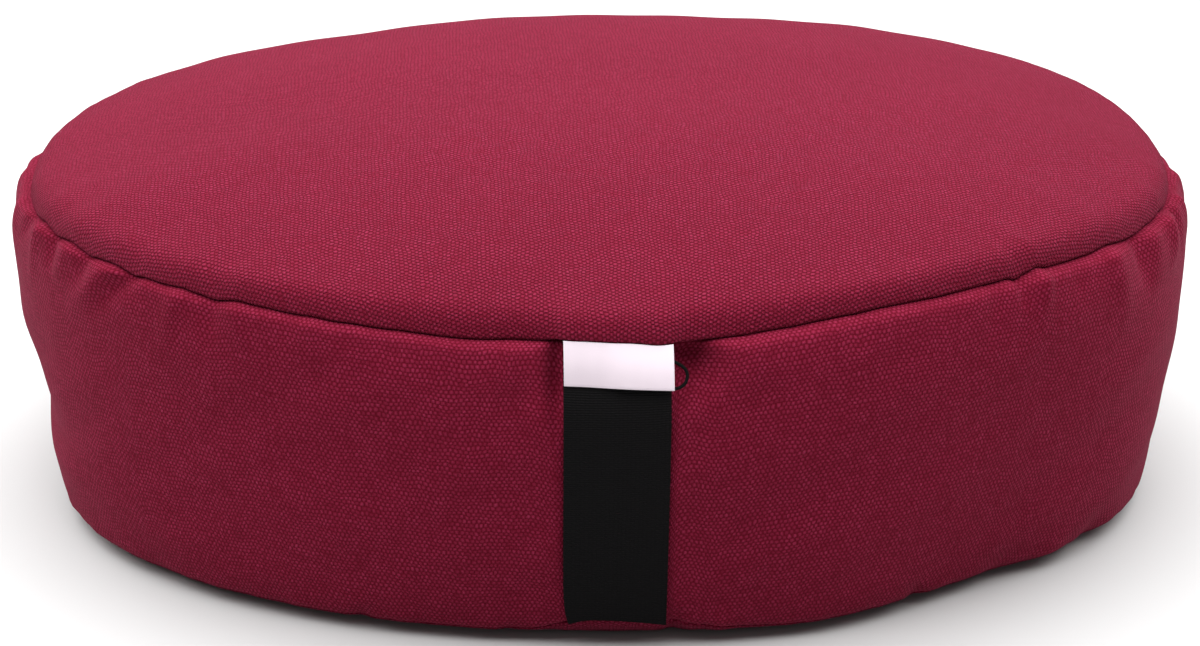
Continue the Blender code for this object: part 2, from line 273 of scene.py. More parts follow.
# Gathers where the band is eased into a seam: the angle at the seam, then millimetres for the half
# width, the height (negative is a hollow), how far down the band it runs, its sideways lean, and how far
# it lifts the seam's line.
Gather = namedtuple("Gather", "angle half_width height run lean seam_lift")
TOP_GATHERS = (
    Gather(187.5, 6.0, 1.8, 30.0, -4.0, 0.3),
    Gather(193.4, 4.2, -2.2, 18.0, -14.0, -0.4),
    Gather(197.0, 4.4, 2.2, 30.0, -12.0, 0.8),
    Gather(200.2, 3.6, -2.9, 20.0, -4.0, -0.7),
    Gather(203.6, 4.8, 1.7, 20.0, -10.0, 0.7),
    Gather(206.8, 3.4, -2.0, 18.0, -10.0, -0.7),
    Gather(210.4, 5.2, 2.5, 34.0, -34.0, 0.6),
    Gather(213.4, 3.8, -2.6, 26.0, -24.0, -0.7),
    Gather(219.7, 4.2, 2.0, 28.0, -9.0, 0.6),
    Gather(223.6, 3.6, -1.8, 22.0, -2.0, -0.6),
    Gather(226.2, 3.6, 1.6, 22.0, 5.0, 0.5),
    Gather(228.5, 12.0, 0.2, 20.0, 0.0, 0.8),
    Gather(234.5, 5.0, 0.9, 20.0, 2.0, 0.3),
    Gather(242.5, 5.0, -0.6, 16.0, 0.0, -0.2),
    Gather(250.0, 14.0, -0.2, 20.0, 0.0, -1.0),
    Gather(256.8, 5.0, 1.0, 26.0, 0.0, 0.2),
    Gather(261.2, 4.4, -1.0, 26.0, 0.0, 0.2),
    Gather(263.0, 14.0, 0.0, 20.0, 0.0, 0.9),
    Gather(273.6, 7.0, 0.0, 18.0, 0.0, -1.2),
    Gather(277.0, 5.4, -0.8, 18.0, 0.0, -0.7),
    Gather(282.5, 10.0, 0.6, 24.0, 4.0, -0.7),
    Gather(297.5, 24.0, 0.2, 20.0, 0.0, 1.3),
    Gather(296.0, 5.0, -0.8, 18.0, 0.0, -0.2),
    Gather(312.6, 5.0, -1.4, 26.0, -6.0, 0.0),
    Gather(315.8, 2.2, -2.2, 12.0, 0.0, -1.3),
    Gather(318.6, 3.2, 2.6, 22.0, -2.0, 1.3),
    Gather(323.0, 4.0, -0.8, 20.0, 0.0, 0.0),
    Gather(328.6, 5.6, 2.4, 38.0, 6.0, 0.8),
    Gather(333.6, 6.2, -4.4, 28.0, 3.0, -0.6),
    Gather(337.0, 3.0, 0.6, 16.0, 0.0, 0.4),
    Gather(341.2, 3.8, 2.2, 26.0, -2.0, 0.8),
    Gather(344.6, 3.2, -2.7, 24.0, 2.0, -0.5),
    Gather(348.2, 3.4, 1.5, 24.0, 7.0, 0.6),
    Gather(351.4, 3.4, -0.5, 20.0, 4.0, -0.2),
    Gather(355.6, 7.0, 2.1, 30.0, 4.0, 0.5),
    Gather(0.4, 6.0, 0.5, 22.0, 2.0, 0.2),
    Gather(6.0, 6.0, 0.4, 24.0, 3.0, 0.1),
    Gather(12.5, 5.0, -0.8, 22.0, 0.0, -0.2),
    Gather(22.0, 7.0, -0.9, 24.0, 2.0, -0.2),
    Gather(35.0, 6.0, 1.2, 24.0, 2.0, 0.3),
    Gather(48.0, 7.0, -1.4, 24.0, 0.0, -0.4),
    Gather(76.0, 7.0, -1.4, 22.0, 0.0, -0.3),
    Gather(88.0, 6.0, 1.0, 22.0, 0.0, 0.2),
    Gather(104.0, 7.0, -1.6, 24.0, 0.0, -0.4),
    Gather(128.0, 6.0, -1.6, 26.0, 0.0, -0.4),
    Gather(143.0, 5.0, 1.4, 24.0, 0.0, 0.4),
    Gather(150.5, 4.6, -2.2, 26.0, -2.0, -0.8),
    Gather(156.0, 4.0, 1.6, 24.0, -2.0, 0.4),
    Gather(161.0, 4.4, -1.8, 26.0, -4.0, -0.6),
    Gather(166.0, 5.0, 2.0, 26.0, -2.0, 0.4),
    Gather(174.4, 8.0, 2.3, 28.0, -4.0, 0.6),
    Gather(178.8, 9.0, 2.3, 24.0, -2.0, 0.4),
)
FOOT_GATHERS = (
    Gather(12.0, 12.0, -1.6, 20.0, 0.0, 0.0),
    Gather(55.0, 12.0, -1.4, 18.0, 0.0, 0.0),
    Gather(118.0, 12.0, -1.4, 18.0, 0.0, 0.0),
    Gather(165.0, 12.0, -1.6, 20.0, 0.0, 0.0),
    Gather(213.0, 12.0, -1.4, 20.0, 0.0, 0.0),
    Gather(238.0, 3.6, -2.4, 9.0, 6.0, 0.0),
    Gather(255.7, 3.4, -2.0, 7.0, 5.0, 0.0),
    Gather(275.9, 3.6, -2.4, 9.0, 0.0, 0.0),
    Gather(281.5, 7.0, 1.2, 12.0, 0.0, 0.0),
    Gather(307.0, 4.0, -2.6, 11.0, -7.0, 0.0),
    Gather(318.5, 7.0, -1.8, 16.0, 0.0, 0.0),
    Gather(325.0, 8.0, 1.4, 18.0, 0.0, 0.0),
    Gather(331.6, 7.0, -2.8, 18.0, 0.0, 0.0),
)
# A gather starts with this share of its height at the seam and has all of it this much further on.
GATHER_START = 0.75
GATHER_GROWTH = 0.005
# Between the large gathers the stitches leave small puckers all along both seams: degrees, then
# millimetres, and the share of them that shows on the top panel.
PUCKER_SPACING = 2.1
PUCKER_JITTER = 0.9
PUCKER_HALF_WIDTHS = (2.2, 4.8)
PUCKER_HEIGHTS = (0.084, 0.42)
PUCKER_RUNS = (7.0, 20.0)
PUCKER_LEAN = 4.0
PUCKER_LIFT = 0.16
PANEL_PUCKERS = 0.3

# Places where the filling has given way, or pushes the band out: an angle, then millimetres for the
# height above the floor, the half width, the half height and how far the cloth stands out.
Dent = namedtuple("Dent", "angle height half_width half_tall out")
DENTS = (
    Dent(188.0, 50.0, 34.0, 15.5, -4.4),
    Dent(196.0, 30.0, 30.0, 10.0, 2.2),
    Dent(259.8, 99.0, 7.0, 6.0, 0.9),
    Dent(255.0, 84.0, 9.0, 18.0, -0.7),
    Dent(296.0, 92.0, 26.0, 16.0, -0.7),
    Dent(330.0, 70.0, 24.0, 22.0, 0.9),
    Dent(232.0, 78.0, 30.0, 18.0, -0.9),
    Dent(277.0, 115.0, 10.0, 9.0, -9.0),
    Dent(262.0, 108.0, 4.0, 14.0, -5.5),
)

# The hulls under the cloth leave broad low swells, in waves that cross one another and die out this near
# to a seam.
SWELL_WAVES = 12
SWELL_HEIGHT = 0.00016
SHORTEST_SWELL = 0.032
LONGEST_SWELL = 0.120
SWELL_FADE = 0.02

# Where the strap lies, the band is pressed flat, and it rises a little beside the strap's edges.
FRONT = 270.0
FRONT_REACH = 15.0
STRAP_X = -0.004
STRAP_WIDTH = 0.038
BED_DEPTH = 0.0004
BED_EDGE = 0.0018
BED_RIM = 0.0008
BED_RIM_WIDTH = 0.006
# The strap and the label make the top seam thick there: the top panel's edge is lifted this much and
# pushed out this much, to this far beyond the strap, and then falls back over this distance.
SEAM_OPENING = 0.0009
SEAM_OVERHANG = 0.0030
OVERHANG_PAST_STRAP = 0.0020
OVERHANG_FADE = 0.0010
# The strap is drawn tight over the band's shoulder and takes this share of its swell away, less this far
# below the top seam and this far beyond its left and right edges.
STRAP_PRESS = 0.8
PRESS_REACH = 0.013
PRESS_LEFT = 0.0065
PRESS_RIGHT = 0.0150

SEED = 11
chance = np.random.default_rng(SEED)


def station_value(angle, column):
    """One column of STATIONS in metres, read from a smooth closed curve through its rows."""
    rows = np.array([getattr(row, column) for row in STATIONS]) * MM
    place = np.mod(angle, 360.0) / 360.0 * len(rows)
    row = place.astype(int)
    u = place - row
    before, start, end, after = (rows[(row + k) % len(rows)] for k in (-1, 0, 1, 2))
    slope_in = (end - before) / 2
    slope_out = (after - start) / 2
    value = (2 * u**3 - 3 * u**2 + 1) * start + (u**3 - 2 * u**2 + u) * slope_in
    return value + (3 * u**2 - 2 * u**3) * end + (u**3 - u**2) * slope_out


def seam_radius(angle):
    """Distance from the centre to the top seam, seen from above."""
    x = np.abs(np.cos(np.radians(angle))) / (SEAM_LENGTH / 2)
    y = np.abs(np.sin(np.radians(angle))) / (SEAM_DEPTH / 2)
    return (x**OVAL_POWER + y**OVAL_POWER) ** (-1 / OVAL_POWER) + station_value(angle, "reach")


def seam_plan(angle):
    """Points on the top seam's oval, on the floor below it."""
    turn = np.radians(angle)
    radius = seam_radius(angle)
    return np.stack([radius * np.cos(turn), radius * np.sin(turn), 0.0 * turn], axis=-1)


def outward(angle):
    """Level directions square to the seam, pointing out of the cushion."""
    along = seam_plan(angle + 1.0) - seam_plan(angle - 1.0)
    out = np.stack([along[..., 1], -along[..., 0], 0.0 * angle], axis=-1)
    return out / np.linalg.norm(out, axis=-1, keepdims=True)


def angle_gap(angle, centre):
    """Degrees from centre to angle, the short way round."""
    return np.mod(angle - centre + 180.0, 360.0) - 180.0


def small_puckers():
    """Seeded small gathers, one for each few degrees of a seam."""
    puckers = []
    for angle in np.arange(0.0, 360.0, PUCKER_SPACING):
        puckers.append(Gather(
            angle + chance.uniform(-PUCKER_JITTER, PUCKER_JITTER),
            chance.uniform(*PUCKER_HALF_WIDTHS),
            chance.choice((-1, 1)) * chance.uniform(*PUCKER_HEIGHTS),
            chance.uniform(*PUCKER_RUNS),
            chance.uniform(-PUCKER_LEAN, PUCKER_LEAN),
            chance.uniform(-PUCKER_LIFT, PUCKER_LIFT),
        ))
    return tuple(puckers)


top_puckers = small_puckers()
foot_puckers = small_puckers()


def gather_relief(gathers, angle, distance):
    """How far the gathers move the cloth out, at this distance from their seam."""
    relief = np.zeros(np.broadcast(angle, distance).shape)
    arc = seam_radius(angle) * math.radians(1.0)
    grown = np.minimum(1.0, GATHER_START + distance / GATHER_GROWTH)
    for gather in gathers:
        travel = np.minimum(1.0, distance / (gather.run * MM))
        aside = angle_gap(angle, gather.angle) * arc - gather.lean * MM * travel
        across = np.exp(-((aside / (gather.half_width * MM)) ** 2))
        relief += gather.height * MM * across * grown * (1.0 - travel**2) ** 2
    return relief


def seam_ripple(angle):
    """How far the gathers lift the top seam's line."""
    ripple = 0.0 * angle
    arc = seam_radius(angle) * math.radians(1.0)
    for gather in TOP_GATHERS + top_puckers:
        aside = angle_gap(angle, gather.angle) * arc
        ripple = ripple + gather.seam_lift * MM * np.exp(-((aside / (gather.half_width * MM)) ** 2))
    return ripple


def seam_height(angle):
    """Height of the top seam's line, which the gathers make wander."""
    return SEAM_HEIGHT + station_value(angle, "lift") + seam_ripple(angle)


wave_aims = chance.uniform(0.0, 2 * math.pi, SWELL_WAVES)
wave_lengths = chance.uniform(SHORTEST_SWELL, LONGEST_SWELL, SWELL_WAVES)
wave_starts = chance.uniform(0.0, 2 * math.pi, SWELL_WAVES)


def broad_swells(points):
    """Low uneven swells of the filling, read at places in the cushion itself."""
    relief = 0.0
    for aim, length, start in zip(wave_aims, wave_lengths, wave_starts):
        level = points[..., 2] * (1.0 + math.sin(3.0 * aim))
        place = points[..., 0] * math.cos(aim) + points[..., 1] * math.sin(aim) + level
        relief = relief + SWELL_HEIGHT * np.sin(2 * math.pi * place / length + start)
    return relief


def dent_push(angle, height):
    """How far the dents move the band out at this height."""
    push = 0.0
    for dent in DENTS:
        aside = angle_gap(angle, dent.angle) * math.radians(1.0) * seam_radius(angle)
        across = aside / (dent.half_width * MM)
        level = (height - dent.height * MM) / (dent.half_tall * MM)
        push = push + dent.out * MM * np.exp(-(across**2) - level**2)
    return push


def beside_strap(angle):
    """Distance from the strap's nearer edge, negative under the strap and large at the back."""
    plan = seam_plan(angle)
    return np.where(plan[..., 1] < 0.0, np.abs(plan[..., 0] - STRAP_X) - STRAP_WIDTH / 2, 1.0)


def strap_press(angle, fall):
    """Share of the band's swell that the tight strap takes away, this far below the top seam."""
    fade = np.where(seam_plan(angle)[..., 0] < STRAP_X, PRESS_LEFT, PRESS_RIGHT)
    aside = np.maximum(beside_strap(angle), 0.0) / fade
    return STRAP_PRESS * np.exp(-(aside**2) - (fall / PRESS_REACH) ** 2)


def raised(points, height):
    """The points, lifted by these heights."""
    return points + np.stack([0.0 * height, 0.0 * height, height], axis=-1)


def foot_seam_shown(angle):
    """1 where the bottom seam is drawn up at the front, 0 where it is tucked under."""
    plan = seam_plan(angle)
    aside = plan[..., 0] - SHOWN_SEAM_X
    aside = aside / np.where(aside < 0.0, SHOWN_SEAM_LEFT, SHOWN_SEAM_RIGHT)
    return np.where(plan[..., 1] < 0.0, np.exp(-(aside**2)), 0.0)


def foot_seam_height(angle):
    """Height of the bottom seam's line."""
    return FOOT_SEAM_HEIGHT + SHOWN_SEAM_RISE * foot_seam_shown(angle)


def plain_band(angle, drop):
    """The band without its folds: drop runs from 0 at the top seam to 1 at the bottom seam."""
    top = SEAM_HEIGHT + station_value(angle, "lift")
    height = top + (foot_seam_height(angle) - top) * drop
    swell = (BAND_SWELL + station_value(angle, "swell")) * (1.0 - strap_press(angle, top - height))
    foot = station_value(angle, "foot") - FOOT_DRAW_IN
    push = swell * np.sin(math.pi * drop**SWELL_SKEW) ** SWELL_POWER + foot * drop
    return raised(seam_plan(angle) + outward(angle) * push[..., None], height)


def eased(share):
    """0 to 1 with a soft start and a soft end, held at both outside them."""
    share = np.clip(share, 0.0, 1.0)
    return share * share * (3.0 - 2.0 * share)


def band_panel(angle, drop):
    """The band with its gathers, its swells, its grooves and the bed of the strap."""
    points = plain_band(angle, drop)
    top = seam_height(angle)
    foot = foot_seam_height(angle)
    fall = (top - foot) * drop
    rise = (top - foot) * (1.0 - drop)
    folds = gather_relief(TOP_GATHERS + top_puckers, angle, fall)
    folds += gather_relief(FOOT_GATHERS + foot_puckers, angle, rise)
    folds += dent_push(angle, foot + rise)
    folds += broad_swells(points) * np.minimum(1.0, np.minimum(fall, rise) / SWELL_FADE)
    aside = beside_strap(angle)
    free = eased(aside / BED_EDGE)
    folds = folds * free - BED_DEPTH * (1.0 - free)
    folds += BED_RIM * np.exp(-(((aside - BED_RIM_WIDTH) / BED_RIM_WIDTH) ** 2)) * np.sin(math.pi * drop)
    folds -= GROOVE_DEPTH * np.exp(-fall / GROOVE_MOUTH)
    folds -= FOOT_GROOVE_DEPTH * np.exp(-rise / FOOT_GROOVE_MOUTH)
    folds -= FOOT_TUCK * (1.0 - foot_seam_shown(angle)) * np.exp(-rise / FOOT_TUCK_REACH)
    points = points + outward(angle) * folds[..., None]
    points[..., 2] = foot + rise
    return points


def over_strap(angle):
    """1 where the strap and the label hold the top panel's edge up and out, and 0 elsewhere."""
    return 0.5 - 0.5 * np.tanh((beside_strap(angle) - OVERHANG_PAST_STRAP) / (2.0 * OVERHANG_FADE))


def top_panel(angle, share):
    """The top panel: share runs from 0 at its centre to 1 at the seam's line."""
    inside = (1.0 - share) * seam_radius(angle)
    height = SEAM_HEIGHT + station_value(angle, "lift") * share**3
    height += DOME_RISE * (1.0 - share**DOME_POWER)
    at_edge = np.exp(-inside / RIPPLE_REACH)
    height += (seam_ripple(angle) + SEAM_OPENING * over_strap(angle)) * at_edge
    height += ROLL_RISE * (1.0 - np.exp(-inside / ROLL_REACH))
    height += LIP_RISE * (1.0 - np.exp(-inside / LIP_REACH))
    points = seam_plan(angle) * share[..., None]
    points = points + outward(angle) * (SEAM_OVERHANG * over_strap(angle) * at_edge)[..., None]
    height += broad_swells(points) * np.minimum(1.0, inside / SWELL_FADE)
    height += PANEL_PUCKERS * gather_relief(top_puckers, angle, inside)
    return raised(points, height)


def lip_ring(angle, step):
    """One ring of the top panel's edge inside the groove."""
    held = over_strap(angle)
    out = step.out * MM + SEAM_OVERHANG * held * min(1.0, step.up)
    point = seam_plan(angle) + outward(angle) * out[..., None]
    return raised(point, seam_height(angle) + SEAM_OPENING * held + step.up * MM)


def foot_push(angle):
    """How far the bottom seam lies outside the top seam's oval."""
    push = station_value(angle, "foot") - FOOT_DRAW_IN - FOOT_TUCK * (1.0 - foot_seam_shown(angle))
    return push + gather_relief(FOOT_GATHERS + foot_puckers, angle, 0.0 * angle)


def bottom_panel(angle, share):
    """The bottom panel's edge, which curls in under the bottom seam to the floor."""
    reach = foot_push(angle) - share * BASE_ROLL
    reach = reach - FOOT_GROOVE_DEPTH * np.exp(-share * BASE_ROLL / FOOT_GROOVE_MOUTH)
    height = foot_seam_height(angle) * (1.0 - share) ** 2
    return raised(seam_plan(angle) + outward(angle) * reach[..., None], height)


# How much closer together the rings lie near the seams, on the top, the band and the base. The base's
# curl ends at this place. The last ring of the flat underside is this share of a ring's step wide.
TOP_CROWDING = 1.9
BAND_CROWDING = 0.9
BASE_CROWDING = 1.4
CURL_END = 2.3
FLOOR_LAST_RING = 0.3


def ring_angles(columns):
    """Degrees of the mesh's columns, which start at the back."""
    return 90.0 + np.linspace(0.0, 360.0, columns, endpoint=False)


def cover_rings(columns, top_count, band_count, base_count, floor_count, lip):
    """The cover as rings of points from the top's centre to the bottom's. With them, each ring's place:
    0 to 1 over the top panel, 1 to 2 down the band and 2 to 3 over the bottom panel."""
    angle = ring_angles(columns)[None, :]
    inset = LIP_INSET / (SEAM_DEPTH / 2)
    shares = 1.0 - (1.0 - inset) * np.linspace(0.0, 1.0, top_count) ** TOP_CROWDING
    shares = shares[:-1][::-1] - inset
    rings = [top_panel(angle, shares[:, None] * np.ones_like(angle))]
    places = list(shares)
    for step in lip:
        rings.append(lip_ring(angle, step))
        places.append(1.0)
    drops = np.linspace(0.0, 1.0, band_count)
    drops = drops - BAND_CROWDING * np.sin(2 * math.pi * drops) / (2 * math.pi)
    rings.append(band_panel(angle, drops[:, None] * np.ones_like(angle)))
    places += list(1.0 + drops)
    curls = np.linspace(0.0, 1.0, base_count)[1:] ** BASE_CROWDING
    rings.append(bottom_panel(angle, curls[:, None] * np.ones_like(angle)))
    places += list(2.0 + (CURL_END - 2.0) * curls)
    floor_edge = bottom_panel(angle, np.ones_like(angle))
    for k in range(1, floor_count + 1):
        rings.append(floor_edge * (1.0 - k / (floor_count + FLOOR_LAST_RING)))
        places.append(CURL_END + (3.0 - CURL_END) * k / floor_count)
    return np.concatenate([ring.reshape(-1, columns, 3) for ring in rings]), np.array(places)


def ring_faces(rings, columns):
    """Quads between neighbouring rings, and a fan round a last point at each end."""
    ring, column = np.meshgrid(np.arange(rings - 1), np.arange(columns), indexing="ij")
    after = (column + 1) % columns
    quads = np.stack([
        ring * columns + column, (ring + 1) * columns + column,
        (ring + 1) * columns + after, ring * columns + after,
    ], axis=-1).reshape(-1, 4)
    first = rings * columns
    last_ring = (rings - 1) * columns
    faces = quads.tolist()
    faces += [[first, k, (k + 1) % columns] for k in range(columns)]
    faces += [[first + 1, last_ring + (k + 1) % columns, last_ring + k] for k in range(columns)]
    return faces


def ring_object(name, points):
    """A closed mesh object of the rings, with its two end points last."""
    rings, columns = points.shape[:2]
    ends = np.stack([points[0].mean(axis=0), points[-1].mean(axis=0)])
    mesh = bpy.data.meshes.new(name)
    vertices = np.concatenate([points.reshape(-1, 3), ends])
    mesh.from_pydata(vertices.tolist(), [], ring_faces(rings, columns))
    mesh.shade_smooth()
    item = bpy.data.objects.new(name, mesh)
    bpy.context.collection.objects.link(item)
    return item


# The cover is blown up against its filling by a cloth simulation on a plain net of the cover, whose
# seams and underside are held. It starts a little smaller than the cover. What the net's points move by,
# up to the most, is then given to the fine cover, less near the seams.
NET_COLUMNS = 160
NET_TOP_RINGS = 20
NET_BAND_RINGS = 18
NET_BASE_RINGS = 5
NET_FLOOR_RINGS = 5
NET_DRAWN_IN = 0.0004
NET_FRAMES = 20
NET_QUALITY = 6
PRESSURE = 4.0
HELD_BY_SEAM = 0.02
HELD_FROM = 2.2
MOST_MOVE = 0.0010
EASING_PASSES = 5
SEAM_EASE = 0.05
TINY = 1e-9


def ring_normals(points):
    """Outward directions at the points of the rings."""
    along = np.roll(points, -1, axis=1) - np.roll(points, 1, axis=1)
    down = np.gradient(points, axis=0)
    normal = np.cross(down, along)
    return normal / np.maximum(np.linalg.norm(normal, axis=-1, keepdims=True), TINY)


def settled_net():
    """Moves of the net's points after the cloth has settled, and the places of its rings."""
    points, places = cover_rings(
        NET_COLUMNS, NET_TOP_RINGS, NET_BAND_RINGS, NET_BASE_RINGS, NET_FLOOR_RINGS, ()
    )
    to_seam = np.minimum(np.abs(places - 1.0), np.abs(places - 2.0))
    held = (to_seam < HELD_BY_SEAM) | (places > HELD_FROM)
    start = points - ring_normals(points) * NET_DRAWN_IN * ~held[:, None, None]
    net = ring_object("cloth_net", start)
    pins = net.vertex_groups.new(name="seams")
    for ring in np.flatnonzero(held):
        pins.add(range(ring * NET_COLUMNS, (ring + 1) * NET_COLUMNS), 1.0, "REPLACE")
    pins.add([len(net.data.vertices) - 1], 1.0, "REPLACE")
    cloth = net.modifiers.new("Cloth", "CLOTH")
    cloth.settings.vertex_group_mass = "seams"
    cloth.settings.quality = NET_QUALITY
    cloth.settings.use_pressure = True
    cloth.settings.uniform_pressure_force = PRESSURE
    cloth.settings.effector_weights.gravity = 0.0
    cloth.point_cache.frame_start = 1
    cloth.point_cache.frame_end = NET_FRAMES
    for frame_number in range(1, NET_FRAMES + 1):
        bpy.context.scene.frame_set(frame_number)
    shown = net.evaluated_get(bpy.context.evaluated_depsgraph_get()).data
    coordinates = np.zeros(len(shown.vertices) * 3)
    shown.vertices.foreach_get("co", coordinates)
    bpy.context.scene.frame_set(1)
    bpy.data.objects.remove(net, do_unlink=True)
    moved = coordinates.reshape(-1, 3)[:-2].reshape(points.shape)
    return moved - points, places


def spread_moves(moves, net_places, places, columns):
    """The net's moves, capped, carried to the rings and columns of the fine cover and eased."""
    size = np.linalg.norm(moves, axis=-1, keepdims=True)
    moves = moves * np.minimum(1.0, MOST_MOVE / np.maximum(size, TINY))
    row = np.clip(np.searchsorted(net_places, places, side="right") - 1, 0, len(net_places) - 2)
    gap = net_places[row + 1] - net_places[row]
    share = np.clip((places - net_places[row]) / np.maximum(gap, TINY), 0.0, 1.0)[:, None, None]
    moves = moves[row] * (1.0 - share) + moves[row + 1] * share
    place = np.arange(columns) * NET_COLUMNS / columns
    left = place.astype(int)
    part = (place - left)[None, :, None]
    moves = moves[:, left % NET_COLUMNS] * (1.0 - part) + moves[:, (left + 1) % NET_COLUMNS] * part
    for _ in range(EASING_PASSES):
        moves = (np.roll(moves, 2, axis=1) + 2 * moves + np.roll(moves, -2, axis=1)) / 4
        moves[1:-1] = (moves[:-2] + 2 * moves[1:-1] + moves[2:]) / 4
    return moves


cover_points, cover_places = cover_rings(
    COLUMNS, TOP_RINGS, BAND_RINGS, BASE_RINGS, FLOOR_RINGS, TOP_LIP
)
net_moves, net_places = settled_net()
moves = spread_moves(net_moves, net_places, cover_places, COLUMNS)
free_of_strap = np.clip(beside_strap(ring_angles(COLUMNS)) / BED_EDGE, 0.0, 1.0)[None, :, None]
near_seams = np.minimum(np.abs(cover_places - 1.0), np.abs(cover_places - 2.0)) / SEAM_EASE
loose = np.clip(near_seams, 0.0, 1.0)[:, None, None]
on_band = ((cover_places > 1.0) & (cover_places < CURL_END))[:, None, None]
cover_points += moves * loose * np.where(on_band, free_of_strap, 1.0)
cover_points[..., 2] = np.maximum(cover_points[..., 2], 0.0)


# The cloth's own directions, kept as a UV map in metres: U runs across the thick threads and V across
# the fine ones. The band's threads run round and down, the panels' straight across. The tight band's
# weave is drawn open a little, so the panels' threads lie closer by this share.
PANEL_PITCH_SHARE = 0.92


def lengths_down(points):
    """Distance along the cloth down each column, from the first ring."""
    steps = np.linalg.norm(np.diff(points, axis=0), axis=-1)
    return np.concatenate([np.zeros((1, points.shape[1])), np.cumsum(steps, axis=0)])


def panel_uv(points):
    """A round panel spread flat: rings from the centre outwards."""
    first = points[0, :, :2]
    reach = lengths_down(points) + np.linalg.norm(first - first.mean(axis=0), axis=-1)
    turn = np.arctan2(points[..., 1], points[..., 0])
    return np.stack([reach * np.cos(turn), reach * np.sin(turn)], axis=-1) / PANEL_PITCH_SHARE


def add_weave_uv(item, points, places):
    """Write the weave's UV map, and a point attribute that is 1 on the round panels and 0 on the band."""
    rings, columns = points.shape[:2]
    seam_ring = int(np.flatnonzero(places >= 1.0)[len(TOP_LIP)])
    foot_ring = int(np.flatnonzero(places >= 2.0)[0])
    top = panel_uv(points[: seam_ring + 1])
    base = panel_uv(points[foot_ring:][::-1])[::-1]
    band = points[seam_ring : foot_ring + 1]
    round_steps = np.linalg.norm(np.roll(points[seam_ring], -1, axis=0) - points[seam_ring], axis=-1)
    around = np.concatenate([[0.0], np.cumsum(round_steps)])
    down = lengths_down(band)
    down = np.concatenate([down, down[:, :1]], axis=1)
    band = np.stack([down, np.broadcast_to(around, down.shape)], axis=-1)
    closed = [np.concatenate([part, part[:, :1]], axis=1) for part in (top, base)]
    uv = []
    for part in (closed[0], band, closed[1]):
        quads = np.stack([part[:-1, :-1], part[1:, :-1], part[1:, 1:], part[:-1, 1:]], axis=2)
        uv.append(quads.reshape(-1, 2))
    for part, way in ((closed[0][0], 1), (closed[1][-1], -1)):
        centre = np.zeros_like(part[:-1])
        pair = (part[:-1], part[1:])[::way]
        uv.append(np.stack([centre, *pair], axis=1).reshape(-1, 2))
    on_panel = np.repeat((places <= 1.0) & (np.arange(rings) < seam_ring) | (places > 2.0), columns)
    panel = item.data.attributes.new("panel", "FLOAT", "POINT")
    panel.data.foreach_set("value", np.concatenate([on_panel, [True, True]]).astype(np.float32))
    layer = item.data.uv_layers.new(name="weave")
    layer.data.foreach_set("uv", np.concatenate(uv).ravel())


# Duck is a plain weave of thick yarns with finer, closer ones over and under them. Each float of a fine
# yarn shows as a small bright grain, and now and then a yarn runs thick or pale. The low gaps between
# the grains are painted darker as painted shade, besides their relief.
THICK_PITCH = 0.00155
FINE_PITCH = 0.000870
BAND_RELIEF = 0.00040
PANEL_RELIEF = 0.00100
YARN_PAINTED_GAP_SHADE = (0.064, 0.0001, 0.0030, 1.0)
YARN_LIGHT = (0.228, 0.0120, 0.0400, 1.0)
# The colour of the highest crowns: part whitish fuzz, part a painted highlight.
CROWN_FUZZ_AND_HIGHLIGHT = (0.245, 0.021, 0.058, 1.0)
DUCK_SHEEN = 0.10
DUCK_SHEEN_ROUGHNESS = 0.35
DUCK_SHEEN_TINT = (1.0, 0.28, 0.45, 1.0)
# The yarns wander off their straight lines by so many pitches, in waves of this scale.
WANDER_SCALE = 75.0
THICK_WANDER = 3.0
FINE_WANDER = 3.8
# How blunt a grain is across the thick yarn and along the fine one, and how much the grains' sizes vary.
YARN_BLUNTNESS = 0.6
FLOAT_BLUNTNESS = 0.55
SMALLEST_GRAIN = 0.78
GRAIN_SPREAD = 0.44
GRAIN_HEIGHT = 0.54
GRAIN_FLOOR = 0.01
# How much the yarns' thickness drifts, how much loose fuzz lies on them, and how soon a crown turns pale:
# the pale crowns are part whitish fuzz and part a painted highlight.
SLUB = 0.9
FUZZ_SCALE = 3600.0
FUZZ_HEIGHT = 0.30
CROWN_POWER = 2.6
# Broad patches where the dye is a little darker or lighter.
PATCH_SCALE = 11.0
PATCH_DARK = 0.97
PATCH_PALE = 1.03


def yarn_noise(tree, yarn, along, yarn_step, along_step):
    """Uneven thickness: a value that drifts slowly along each yarn and differs from yarn to yarn."""
    place = add_node(tree, "ShaderNodeCombineXYZ", {
        "X": sums(tree, "MULTIPLY", yarn, yarn_step), "Y": sums(tree, "MULTIPLY", along, along_step),
    })
    return add_node(tree, "ShaderNodeTexNoise", {
        "Vector": place.outputs[0], "Scale": 1.0, "Detail": 1.0,
    }).outputs["Fac"]


